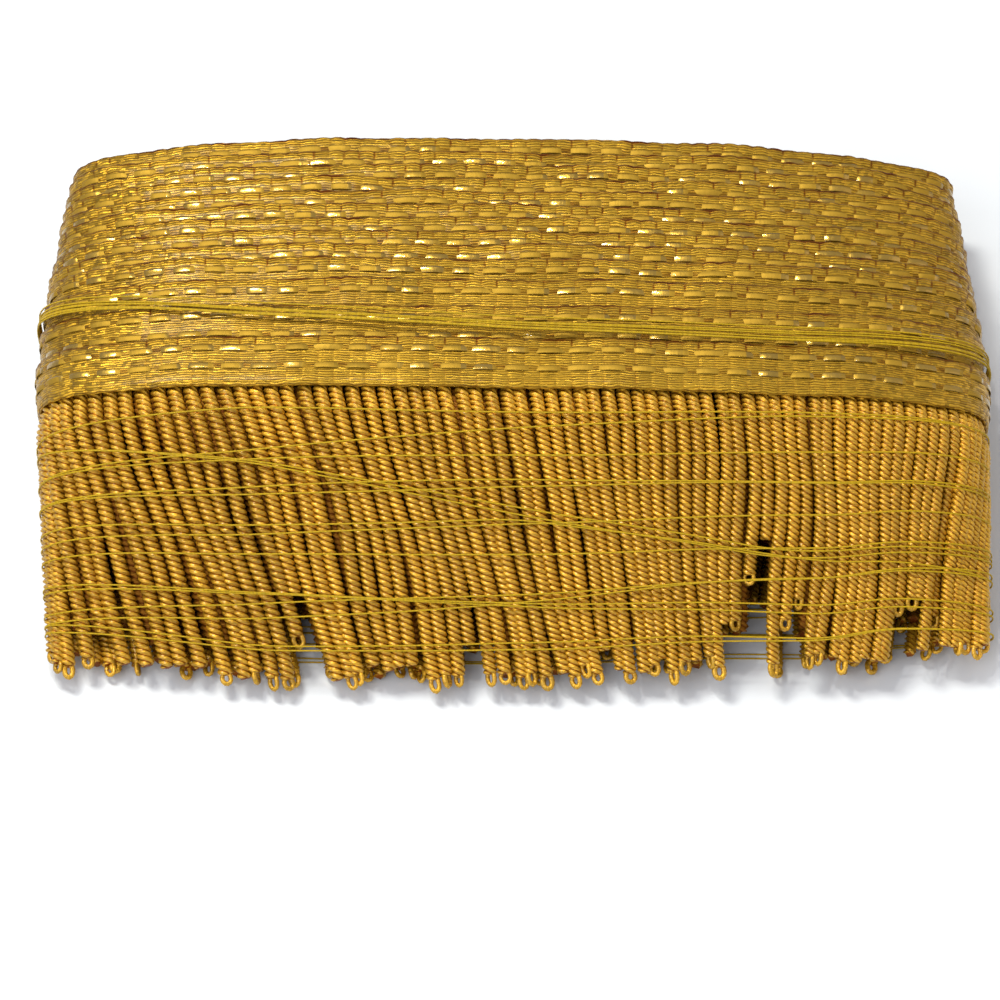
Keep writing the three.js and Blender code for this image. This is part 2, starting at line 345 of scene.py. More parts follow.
def skirt_place(along, u, inset):
    """Place and outward direction on the skirt, at shares of the cord's length from the root. A
    share below 0 lies under the heading."""
    run = np.interp(along, STEP_SHARES, RUN_TABLE) + np.minimum(along, 0) * CORD_LENGTH
    run += np.maximum(along - 1, 0) * CORD_LENGTH
    share = np.interp(along, STEP_SHARES, DROP_TABLE) / DROP_TABLE[-1]
    x, z, out_x, out_z = SKIRT.at(share, u)
    height = (BUNDLE_HEIGHT - STRIP_RISE) * (1 - share) + TIP_HEIGHT * share
    x = x + TIPS_TO_THE_RIGHT * np.clip(along, 0, 1) - inset * out_x
    z = z - inset * out_z
    lean = LEAN - CORD_LENGTH * np.maximum(along, 0) + np.maximum(run, 0)
    y = -CLEARANCE - run + lean * (1 - z / height) - SKEW * x / HALF_WIDTH
    outward = np.stack([out_x, np.zeros_like(out_x), out_z], axis=-1)
    return placed(x, y, z), outward


def across_at(u):
    """Place across the bundle at the cords' roots, from -1 at the left to 1 at the right."""
    return SKIRT.at(np.zeros(1), np.array([u]))[0][0] / HALF_WIDTH


def tip_slide(u):
    """How far the tip of the cord at u lies to the right of its root, in mm. On the underside
    the slide fades out."""
    fade = min(max(1 - (0.25 - min(u, 1 - u)) / SLIDE_FADE, 0), 1)
    return between(TIP_SLIDE, across_at(u)) * fade


def is_above(u):
    return 0.25 < u % 1 < 0.75


# Meshes

class Shape:
    """Tubes gathered into one mesh, with a UV map in millimetres and a tone for each tube."""

    def __init__(self):
        self.vertices, self.faces, self.uvs, self.tones = [], [], [], []
        self.count = 0

    def tube(self, rings, lengths, arounds=None, tone=0.5, closed=False):
        """rings run along the tube, each with its points anticlockwise as seen from the far end."""
        total, sides = rings.shape[:2]
        index = self.count + np.arange(total * sides).reshape(total, sides)
        if closed:
            index = np.vstack([index, index[:1]])
            lengths = np.append(lengths, 2 * lengths[-1] - lengths[-2])
        if arounds is None:
            arounds = np.arange(sides + 1) / sides
        beside = np.roll(index, -1, axis=1)
        quads = np.stack([index[:-1], beside[:-1], beside[1:], index[1:]], axis=-1)
        shape = quads.shape[:2]
        near, far = (np.broadcast_to(row[:, None], shape) for row in (lengths[:-1], lengths[1:]))
        low, high = (np.broadcast_to(row, shape) for row in (arounds[:-1], arounds[1:]))
        corners = [(near, low), (near, high), (far, high), (far, low)]
        uv = np.stack([np.stack(corner, axis=-1) for corner in corners], axis=2)
        self.faces.extend(quads.reshape(-1, 4).tolist())
        self.uvs.append(uv.reshape(-1, 2))
        if not closed:
            for ring, length in ((index[0][::-1], lengths[0]), (index[-1], lengths[-1])):
                self.faces.append(ring.tolist())
                self.uvs.append(np.column_stack([np.full(sides, length), np.full(sides, 0.5)]))
        self.vertices.append(rings.reshape(-1, 3))
        self.tones.append(np.full(total * sides, tone))
        self.count += total * sides

    def make(self, name, material, slot, replaces=()):
        """The mesh as a finished piece of the bundle."""
        mesh = bpy.data.meshes.new(name)
        mesh.from_pydata(np.concatenate(self.vertices).tolist(), [], self.faces)
        layer = mesh.uv_layers.new(name="cloth")
        layer.data.foreach_set("uv", np.concatenate(self.uvs).astype(np.float32).ravel())
        tone = mesh.attributes.new("tone", "FLOAT", "POINT")
        tone.data.foreach_set("value", np.concatenate(self.tones).astype(np.float32))
        mesh.shade_smooth()
        mesh.materials.append(material)
        mesh.validate()
        piece = bpy.data.objects.new(name, mesh)
        bpy.context.collection.objects.link(piece)
        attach(piece, "root")
        if replaces:
            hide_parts(*replaces)
        return piece


def frames(path, outward):
    """Sideways, outward and forward directions along a path of points."""
    forward = normalised(np.gradient(path, axis=0))
    outward = normalised(outward - (outward * forward).sum(axis=-1, keepdims=True) * forward)
    return np.cross(outward, forward), outward, forward


def swept(path, outward, profile, angles=None):
    """Rings of a profile of (sideways, outward) points swept along a path and turned by angles."""
    sideways, outward, _ = frames(path, outward)
    angles = np.zeros(len(path)) if angles is None else angles
    turned_x = np.outer(np.cos(angles), profile[:, 0]) - np.outer(np.sin(angles), profile[:, 1])
    turned_z = np.outer(np.sin(angles), profile[:, 0]) + np.outer(np.cos(angles), profile[:, 1])
    return (path[:, None] + turned_x[..., None] * sideways[:, None]
            + turned_z[..., None] * outward[:, None])


def ringed(path, profile, sideways, outward):
    """Rings of a profile of (sideways, outward) points at each point of a path."""
    return (path[:, None] + profile[None, :, :1] * sideways[:, None]
            + profile[None, :, 1:] * outward[:, None])


def closed_sweep(path, outward, profile):
    """Rings of a profile swept along a path that joins up with itself."""
    forward = normalised(np.roll(path, -1, axis=0) - np.roll(path, 1, axis=0))
    outward = normalised(outward - (outward * forward).sum(axis=-1, keepdims=True) * forward)
    return ringed(path, profile, np.cross(outward, forward), outward)


def round_profile(radius, sides):
    angle = np.arange(sides) / sides * 2 * math.pi
    return np.column_stack([np.cos(angle), np.sin(angle)]) * radius


# Materials

def linear(hex_colour):
    """A linear colour from an sRGB hex value."""
    values = [int(hex_colour[i:i + 2], 16) / 255 for i in (0, 2, 4)]
    return (*[v / 12.92 if v <= 0.04045 else ((v + 0.055) / 1.055) ** 2.4 for v in values], 1.0)


def node(tree, kind, inputs=(), **settings):
    """Adds a node with its settings. An input is a value, a socket, or a node's first output."""
    made = tree.nodes.new("ShaderNode" + kind)
    for name, value in settings.items():
        setattr(made, name, value)
    for socket, value in dict(inputs).items():
        if isinstance(value, bpy.types.Node):
            value = value.outputs[0]
        if isinstance(value, bpy.types.NodeSocket):
            tree.links.new(value, made.inputs[socket])
        else:
            made.inputs[socket].default_value = value
    return made


def new_material(name):
    """An empty material, and the node function for its tree."""
    material = bpy.data.materials.new(name)
    material.use_nodes = True
    material.node_tree.nodes.clear()
    return material, partial(node, material.node_tree)


def cut_up(add, place, length, width):
    """The place cut into cells of a size in mm along and across: the same all over each cell."""
    cells = add("VectorMath", {0: place, 1: (1 / length, 1 / width, 1)}, operation="MULTIPLY")
    return add("VectorMath", {0: cells}, operation="FLOOR")


def tilted_cells(add, cells, bump, amount):
    """The bumped normal, tipped a little another way in each cell, as short lengths of metal are."""
    chance = add("TexWhiteNoise", {"Vector": cells}, noise_dimensions="2D")
    tip = add("VectorMath", {0: chance.outputs["Color"], 1: (0.5, 0.5, 0.5)}, operation="SUBTRACT")
    tip = add("VectorMath", {0: tip, 1: (amount, amount, amount)}, operation="MULTIPLY")
    tipped = add("VectorMath", {0: bump, 1: tip}, operation="ADD")
    return add("VectorMath", {0: tipped}, operation="NORMALIZE")


def woven_heading_material(colours):
    """Metallised thread woven into stacked gold dashes, with painted shade in the gaps between them."""
    material, add = new_material("woven_metallised_thread")
    uv = add("UVMap", uv_map="cloth")
    place = add("SeparateXYZ", {0: uv})
    along, across = place.outputs["X"], place.outputs["Y"]
    column = add("Math", {0: along, 1: math.pi / COLUMN_LENGTH}, operation="MULTIPLY")
    column = add("Math", {0: column}, operation="SINE")
    column = add("Math", {0: column}, operation="ABSOLUTE")

    # The threads wander a little, and each dash and each glint on it has a tone of its own.
    bend = add("VectorMath", {0: uv, 1: (0.3, 0.35, 1)}, operation="MULTIPLY")
    bend = add("TexNoise", {"Vector": bend, "Scale": 1.0, "Detail": 1.0}, noise_dimensions="2D")
    bent = add("Math", {0: bend, 1: 0.6, 2: across}, operation="MULTIPLY_ADD")
    thread = add("Math", {0: bent, 1: math.pi / THREAD_PITCH}, operation="MULTIPLY")
    thread = add("Math", {0: thread}, operation="SINE")
    thread = add("Math", {0: thread}, operation="ABSOLUTE")
    bent_place = add("CombineXYZ", {0: along, 1: bent})
    dash = cut_up(add, bent_place, COLUMN_LENGTH, THREAD_PITCH)
    dash_chance = add("TexWhiteNoise", {"Vector": dash}, noise_dimensions="2D")
    row = add("SeparateXYZ", {0: dash})
    staggered = add("Math", {0: row.outputs["Y"], 1: GLINT_STAGGER * GLINT_LENGTH, 2: along},
                    operation="MULTIPLY_ADD")
    glint = add("CombineXYZ", {0: staggered, 1: bent})
    glint = cut_up(add, glint, GLINT_LENGTH, THREAD_PITCH)
    chance = add("TexWhiteNoise", {"Vector": glint}, noise_dimensions="2D")
    patches = add("TexNoise", {"Vector": uv, "Scale": 0.07, "Detail": 3.0}, noise_dimensions="2D")
    fading = add("TexNoise", {"Vector": uv, "Scale": 0.3, "Detail": 1.0}, noise_dimensions="2D")

    # Painted shade: the groove at each end of a dash and the gap between threads are mixed towards the
    # shade colour. The painted shade in the grooves is strongest along the far edge, where the threads turn
    # back.
    deepest = add("MapRange", {0: across, 1: 8.0, 2: 9.2, 3: 0.3, 4: 0.9})
    groove = add("MapRange", {0: column, 1: 0.0, 2: 0.45, 3: deepest, 4: 0.0},
                 interpolation_type="SMOOTHSTEP")
    shown = add("MapRange", {0: fading, 1: 0.35, 2: 0.65})
    groove = add("Math", {0: groove, 1: shown}, operation="MULTIPLY")
    gap = add("MapRange", {0: thread, 1: 0.0, 2: 0.7, 3: 1.0, 4: 0.0}, interpolation_type="SMOOTHSTEP")
    shown = add("MapRange", {0: dash_chance, 3: 0.25, 4: 1.0})
    gap = add("Math", {0: gap, 1: shown}, operation="MULTIPLY")
    painted_shade = add("Math", {0: groove, 1: gap}, operation="MAXIMUM")

    # Painted shade under the metal strips, and a painted shadow line along the far edge where the tape
    # stands over the next turn; both are broken up, so that they show in some places and not in others.
    broken = add("VectorMath", {0: uv, 1: (0.16, 0.5, 1)}, operation="MULTIPLY")
    broken = add("TexNoise", {"Vector": broken, "Scale": 1.0, "Detail": 2.0}, noise_dimensions="2D")
    broken = add("MapRange", {0: broken, 1: 0.4, 2: 0.62, 3: 0.25, 4: 1.0})
    for middle in LAME_AT:
        beside = add("Math", {0: across, 1: middle}, operation="SUBTRACT")
        beside = add("Math", {0: beside}, operation="ABSOLUTE")
        band = add("MapRange", {
            0: beside, 1: LAME_WIDTH * 0.25, 2: LAME_WIDTH * 0.45, 3: 0.6, 4: 0.0})
        band = add("Math", {0: band, 1: broken}, operation="MULTIPLY")
        painted_shade = add("Math", {0: painted_shade, 1: band}, operation="MAXIMUM")
    edge = add("Math", {0: bend, 1: 0.5, 2: across}, operation="MULTIPLY_ADD")
    edge = add("MapRange", {0: edge, 1: TAPE_WIDTH - 0.55, 2: TAPE_WIDTH - 0.25, 3: 0.0, 4: 0.95})
    edge = add("Math", {0: edge, 1: broken}, operation="MULTIPLY")
    painted_shade = add("Math", {0: painted_shade, 1: edge}, operation="MAXIMUM")
    # Partly a random tone and partly painted glints: each glint cell's colour is made up to 1.44 times
    # lighter or down to 0.66 times, on top of its tilted normal.
    tone = add("MapRange", {0: chance, 1: 0.0, 2: 1.0, 3: 0.66, 4: 1.44})
    patch_tone = add("MapRange", {0: patches, 1: 0.3, 2: 0.7, 3: 0.85, 4: 1.1})
    tone = add("Math", {0: tone, 1: patch_tone}, operation="MULTIPLY")
    gold = add("HueSaturation", {"Color": linear(colours.heading), "Value": tone})
    # Painted shade: the gold is mixed towards the shade colour where the mask above is high.
    colour = add("Mix", {0: painted_shade, 6: gold, 7: linear(colours.shade)}, data_type="RGBA")
    height = add("Math", {0: thread, 1: 0.7}, operation="POWER")
    crown = add("MapRange", {0: column, 1: 0.0, 2: 0.6, 3: 0.6, 4: 1.0})
    height = add("Math", {0: height, 1: crown}, operation="MULTIPLY")
    dash_height = add("MapRange", {0: dash_chance, 3: 0.7, 4: 1.2})
    height = add("Math", {0: height, 1: dash_height}, operation="MULTIPLY")
    bump = add("Bump", {"Strength": 0.9, "Distance": 0.14 * MM, "Height": height})
    normal = tilted_cells(add, glint, bump, 0.36)
    coat = add("MapRange", {0: painted_shade, 3: 0.15, 4: 0.0})
    rough = add("MapRange", {0: dash_chance, 1: 0.0, 2: 1.0, 3: 0.38, 4: 0.6})
    shader = add("BsdfPrincipled", {
        "Base Color": colour.outputs[2], "Metallic": 0.8, "Roughness": rough, "Specular IOR Level": 0.15,
        "Coat Weight": coat, "Coat Roughness": 0.22, "Normal": normal})
    add("OutputMaterial", {"Surface": shader})
    return material


def lame_material(colours):
    """Flat metallised film: smooth, with a hot spot on the crown of the floats that face the light."""
    material, add = new_material("metallised_film_strip")
    uv = add("UVMap", uv_map="cloth")
    cell = cut_up(add, uv, LAME_PERIOD, 5)
    chance = add("TexWhiteNoise", {"Vector": cell}, noise_dimensions="2D")
    crinkle = add("TexNoise", {"Vector": uv, "Scale": 1.1, "Detail": 2.0}, noise_dimensions="2D")
    bump = add("Bump", {"Strength": 0.5, "Distance": 0.1 * MM, "Height": crinkle})
    coat = add("MapRange", {0: chance, 1: 0.3, 2: 0.4, 3: 0.8, 4: 0.0})
    tone = add("MapRange", {0: chance, 3: 0.8, 4: 1.05})
    gold = add("HueSaturation", {"Color": linear(colours.lame), "Value": tone})
    rough = add("MapRange", {0: chance, 1: 0.2, 2: 0.5, 3: 0.34, 4: 0.62})
    shader = add("BsdfPrincipled", {
        "Base Color": gold, "Metallic": 0.85, "Roughness": rough, "Coat Weight": coat,
        "Coat Roughness": 0.07, "Normal": bump})
    add("OutputMaterial", {"Surface": shader})
    return material


def cord_material(name, gold, groove_shade_colour, metal, coat):
    """Gimp: fine metal wire wound round a yarn and twisted in three plies. The ribs sparkle, and the
    grooves between them are given a painted maroon shade."""
    material, add = new_material(name)
    uv = add("UVMap", uv_map="cloth")
    place = add("SeparateXYZ", {0: uv})
    tone = add("Attribute", attribute_name="tone")
    around = add("Math", {0: place.outputs["Y"], 1: 3 * math.pi}, operation="MULTIPLY")
    crest = add("Math", {0: around}, operation="COSINE")
    crest = add("Math", {0: crest}, operation="ABSOLUTE")
    # Painted shade: the grooves between the plies are mixed towards a deep maroon.
    groove = add("MapRange", {0: crest, 1: 0.05, 2: 0.55, 3: 0.9, 4: 0.0},
                 interpolation_type="SMOOTHSTEP")
    # The wire is 0.1 mm and too fine to show, so its wraps are drawn 0.3 mm apart.
    wraps = add("VectorMath", {0: uv, 1: (3.3, 24.0, 1)}, operation="MULTIPLY")
    wraps = add("TexNoise", {"Vector": wraps, "Scale": 1.0, "Detail": 2.0}, noise_dimensions="2D")
    bump = add("Bump", {"Strength": 0.7, "Distance": 0.1 * MM, "Height": wraps})
    cells = add("VectorMath", {0: uv, 1: (3.6, 14.0, 1)}, operation="MULTIPLY")
    cells = add("VectorMath", {0: cells}, operation="FLOOR")
    normal = tilted_cells(add, cells, bump, 0.5)
    light = add("MapRange", {0: tone.outputs["Fac"], 3: 0.8, 4: 1.1})
    # Painted sparkle: the colour is made lighter where the wraps stand highest.
    painted_wrap_sparkle = add("MapRange", {0: wraps, 1: 0.3, 2: 0.7, 3: 0.75, 4: 1.2})
    light = add("Math", {0: light, 1: painted_wrap_sparkle}, operation="MULTIPLY")
    gold = add("HueSaturation", {"Color": linear(gold), "Value": light})
    # Painted shade: the gold is mixed towards the groove's maroon where the groove mask is high.
    colour = add("Mix", {0: groove, 6: gold, 7: linear(groove_shade_colour)}, data_type="RGBA")
    if coat:
        coat = add("MapRange", {0: groove, 3: coat, 4: 0.0})
    shader = add("BsdfPrincipled", {
        "Base Color": colour.outputs[2], "Metallic": metal, "Roughness": 0.5, "Specular IOR Level": 0.1,
        "Coat Weight": coat, "Coat Roughness": 0.22, "Normal": normal})
    add("OutputMaterial", {"Surface": shader})
    return material


def holding_thread_material(colours):
    """Spun polyester thread: a clear matt yellow, which stands out against the metal."""
    material, add = new_material("spun_polyester_thread")
    uv = add("UVMap", uv_map="cloth")
    twist = add("TexNoise", {"Vector": uv, "Scale": 2.5, "Detail": 1.0}, noise_dimensions="2D")
    tone = add("MapRange", {0: twist, 1: 0.3, 2: 0.7, 3: 0.8, 4: 1.15})
    yellow = add("HueSaturation", {"Color": linear(colours.holding), "Value": tone})
    shader = add("BsdfPrincipled", {
        "Base Color": yellow, "Roughness": 0.6, "IOR": 1.5, "Specular IOR Level": 0.25})
    add("OutputMaterial", {"Surface": shader})
    return material


def floor_material(colours):
    """Matt laminate: pale, with a faint mottle."""
    material, add = new_material("matt_laminate")
    place = add("TexCoord")
    mottle = add("TexNoise", {"Vector": place.outputs["Object"], "Scale": 60.0, "Detail": 3.0})
    tone = add("MapRange", {0: mottle, 1: 0.3, 2: 0.7, 3: 0.98, 4: 1.02})
    colour = add("HueSaturation", {"Color": linear(colours.floor), "Value": tone})
    shader = add("BsdfPrincipled", {"Base Color": colour, "Roughness": 0.6, "IOR": 1.5})
    add("OutputMaterial", {"Surface": shader})
    return material


# The winding of the heading

def coil_depth(winding):
    return COIL_PITCH * np.maximum(winding - COIL_FROM, 0)


WINDING_ROWS = 8          # sections sampled for each turn
ROW_WINDINGS = np.arange(int(COIL_END * WINDING_ROWS) + 2) / WINDING_ROWS
WOUND = Sections([
    heading_outline(min(max(w - 0.5, 0), TURNS - 1), 0, float(coil_depth(w))) for w in ROW_WINDINGS])

# Turns wound, the way round there, and the length of tape up to there in mm
WOUND_TURNS = np.linspace(0, COIL_END, 4000)
WOUND_GIRTHS = np.interp(WOUND_TURNS, ROW_WINDINGS, WOUND.girth)
WOUND_LENGTHS = np.concatenate([
    [0], np.cumsum((WOUND_GIRTHS[1:] + WOUND_GIRTHS[:-1]) / 2 * np.diff(WOUND_TURNS))])

# The right and left end of each turn, and how far back the tape's near edge lies there. The tape
# starts in the middle of the underside.
EACH_TURN = np.arange(TURNS)
EACH_BACK = between(TURN_BACK, EACH_TURN)
WOUND_AT = np.concatenate([[0], np.stack([EACH_TURN + 0.25, EACH_TURN + 0.75], axis=1).ravel()])
WOUND_BACK = np.concatenate([[-2 * SKEW], np.stack([EACH_BACK - SKEW, EACH_BACK + SKEW], axis=1).ravel()])

FINE_UNTIL = COIL_FROM + 0.6    # up to this turn the tape is made fine
WANDER_SHARE = 0.6              # share of its wander by which the tape moves sideways

# How far one turn has to lie inside the next one out, at its underside, its ends and its top
TURN_CLEARANCE = ((-1.0, 1.35), (0.0, 1.1), (1.0, 0.9))


def winding_at(lengths):
    """The number of turns wound at a length of tape in mm."""
    return np.interp(lengths, WOUND_LENGTHS, WOUND_TURNS)


def length_at(winding):
    return float(np.interp(winding, WOUND_TURNS, WOUND_LENGTHS))


def tape_place(winding, across, rise):
    """Place and outward direction on the wound tape. across runs from its near to its far edge in
    mm, and rise is how far a place stands above the tape's outer face."""
    u = np.mod(winding, 1)
    x, z, out_x, out_z = WOUND.at(winding * WINDING_ROWS, u)
    depth, depth_outside = coil_depth(winding), coil_depth(winding - 1)
    height = BUNDLE_HEIGHT - TURN_DROP * np.clip(winding - 0.5, 0, TURNS - 1)
    coil = TURN_BACK[-1][1] - SKEW * x / HALF_WIDTH
    back = np.where(winding < COIL_FROM, np.interp(winding, WOUND_AT, WOUND_BACK), coil - COIL_DISH * depth)
    outside = np.where(winding - 1 < COIL_FROM, np.interp(winding - 1, WOUND_AT, WOUND_BACK),
                       coil - COIL_DISH * depth_outside)

    # The turns lie like shingles: each leans inwards from its far edge, under the next one out.
    shown = np.maximum(back - outside, 1.0)
    leaning = np.maximum(between(TURN_CLEARANCE, out_z) - (depth - depth_outside), 0) / shown
    outermost = STRIP_RISE / TAPE_WIDTH * np.clip(1 + out_z, 0, 1)
    is_inside = np.clip((winding - 0.97) / 0.06, 0, 1)    # changes over within the first turn's end
    slope = outermost * (1 - is_inside) + leaning * is_inside
    inset = slope * (TAPE_WIDTH - across) - rise
    x = x - inset * out_x
    z = z - inset * out_z
    back = back + across
    lean = LEAN * np.clip(1 - back / ROLL_DEPTH, 0, 1.2)
    y = back + lean * (1 - np.clip(z / height, 0, 1))
    return placed(x, y, z), np.stack([out_x, np.zeros_like(out_x), out_z], axis=-1)


def float_strip(strips, random, middle, lengths, shift, low):
    """Adds a metal strip, which rides over the weave as floats and dips under it between them."""
    phase = lengths / LAME_PERIOD + random.random()
    cell = np.floor(phase).astype(int)
    tilt = random.normal(0, 1, cell.max() + 2)[cell] * 0.05
    plunge = random.uniform(0.1, 0.7, cell.max() + 2)[cell]
    wave = np.sin(2 * math.pi * phase - math.pi / 2)
    floating = 0.03 + 0.17 * np.clip((wave + 0.6) / 1.6, 0, 1)
    dipping = 0.05 - plunge * np.clip((-0.6 - wave) / 0.4, 0, 1)
    lift = np.where(wave > -0.6, floating, dipping)
    half = LAME_WIDTH / 2
    corners = [(-half, 0.0, -1), (-half * 0.6, 0.07, -0.6), (half * 0.6, 0.07, 0.6), (half, 0.0, 1)]
    rings = np.empty((len(lengths), len(corners), 3))
    for i, (across, rise, side) in enumerate(corners):
        rings[:, i], _ = tape_place(
            winding_at(lengths), middle + across + shift, rise + lift + side * tilt + low)
    strips.tube(rings, lengths, np.array([0, 0.3, 0.7, 1.0, 0.0]) + middle)


class FRINGE_OT_heading(bpy.types.Operator):
    """Winds the woven heading into the bundle, with its two flat metal strips"""
    bl_idname = "fringe.heading"
    bl_label = "Woven heading"

    def execute(self, context):
        settings = context.scene.fringe_heading
        colours = context.scene.fringe_colours
        random = np.random.default_rng(settings.seed)
        thickness = settings.thickness / MM
        total = WOUND_LENGTHS[-1]
        lengths = np.arange(0, length_at(FINE_UNTIL), COLUMN_LENGTH / RINGS_PER_COLUMN)
        lengths = np.concatenate([lengths, np.arange(lengths[-1] + COLUMN_LENGTH, total, COLUMN_LENGTH)])
        winding = winding_at(lengths)
        crowned = np.abs(np.sin(math.pi * lengths / COLUMN_LENGTH))
        strength = random.uniform(0.3, 1.3, int(total / COLUMN_LENGTH) + 2)
        crowned *= strength[(lengths / COLUMN_LENGTH).astype(int)]
        wander = smooth_noise(random, lengths, (23, 37, 61, 142)) * settings.wander / MM
        sink = smooth_noise(random, lengths, (19, 33, 57)) * 0.5 * settings.wander / MM - 0.1

        # The tape's cross-section: place across it, rise above its outer face, share of the crown
        # and share of the scallop
        profile = [
            (0.0, -0.45, 0.0, -1.0), (0.35, -0.1, 0.4, -1.0), (1.4, 0.0, 1.0, 0.0), (2.6, 0.0, 1.0, 0.0),
            (3.8, -0.03, 0.8, 0.0), (5.0, 0.0, 1.0, 0.0), (6.4, 0.0, 1.0, 0.0), (7.6, -0.03, 0.8, 0.0),
            (8.8, 0.0, 2.2, 0.0), (10.1, -0.05, 1.8, 1.0), (10.5, -0.4, 0.0, 1.0),
            (10.2, -thickness, 0.0, 0.7), (7.0, -thickness, 0.0, 0.0), (3.5, -thickness, 0.0, 0.0),
            (0.3, -thickness, 0.0, -0.7)]
        rings = np.empty((len(lengths), len(profile), 3))
        for i, (across, rise, crown, scallop) in enumerate(profile):
            rings[:, i], _ = tape_place(
                winding, across + wander * WANDER_SHARE + scallop * crowned * settings.scallop / MM,
                rise + crown * crowned * settings.crown / MM + sink)
        arounds = np.array([row[0] for row in profile] + [profile[0][0]])
        shape = Shape()
        shape.tube(rings, lengths, arounds)
        tape = shape.make("heading_tape", woven_heading_material(colours), "heading", ["heading_roll"])

        strips = Shape()
        for middle, last_turn in zip(LAME_AT, (LAME_HIDDEN_FROM, FINE_UNTIL)):
            strip_lengths = np.arange(0, length_at(last_turn), LAME_PERIOD / LAME_STEPS)
            shift = np.interp(strip_lengths, lengths, wander) * WANDER_SHARE
            low = np.interp(strip_lengths, lengths, sink)
            float_strip(strips, random, middle, strip_lengths, shift, low)
        strips = strips.make("lame_strips", lame_material(colours), "heading")
        return {"FINISHED"}


# Cords

LEAD_TIGHTENING = 0.09    # the twist is this much looser at the left end and tighter at the right
THINNING = 0.08           # the cords are this much thicker at the left end and thinner at the right
INNER_SCALE = 1.2         # the inner cords are pressed wide
INNER_DEPTH = 1.9         # they lie this deep under the outer ones, in mm
INNER_ROOT_DEPTH = 1.2    # and this deep at their roots
UNDER_HEADING = 0.045     # share of its length by which a cord runs on under the heading
DIVE = 1.5                # how deep it dives there, in mm
DIVE_SHARE = 0.115        # share of its length over which it comes up again
LOOPED_SHARE = 0.55       # share of the cords that end in an open loop
LOSS_BELOW = 0.03         # the cords below end early by this share more, out of sight
SPACING_UNEVENNESS = 0.07


def three_ply_profile(diameter, fine):
    """The outline of three plies lying against each other: crest, flank, groove and flank of each."""
    ply = [(0, 1.0), (27, 0.92), (60, 0.6), (93, 0.92)] if fine else [(0, 1.0), (60, 0.62)]
    angle = np.radians([turn + at for turn in (0, 120, 240) for at, _ in ply])
    reach = np.array([reach for _ in range(3) for _, reach in ply]) * diameter / 2
    return np.column_stack([np.cos(angle), np.sin(angle)]) * reach[:, None]


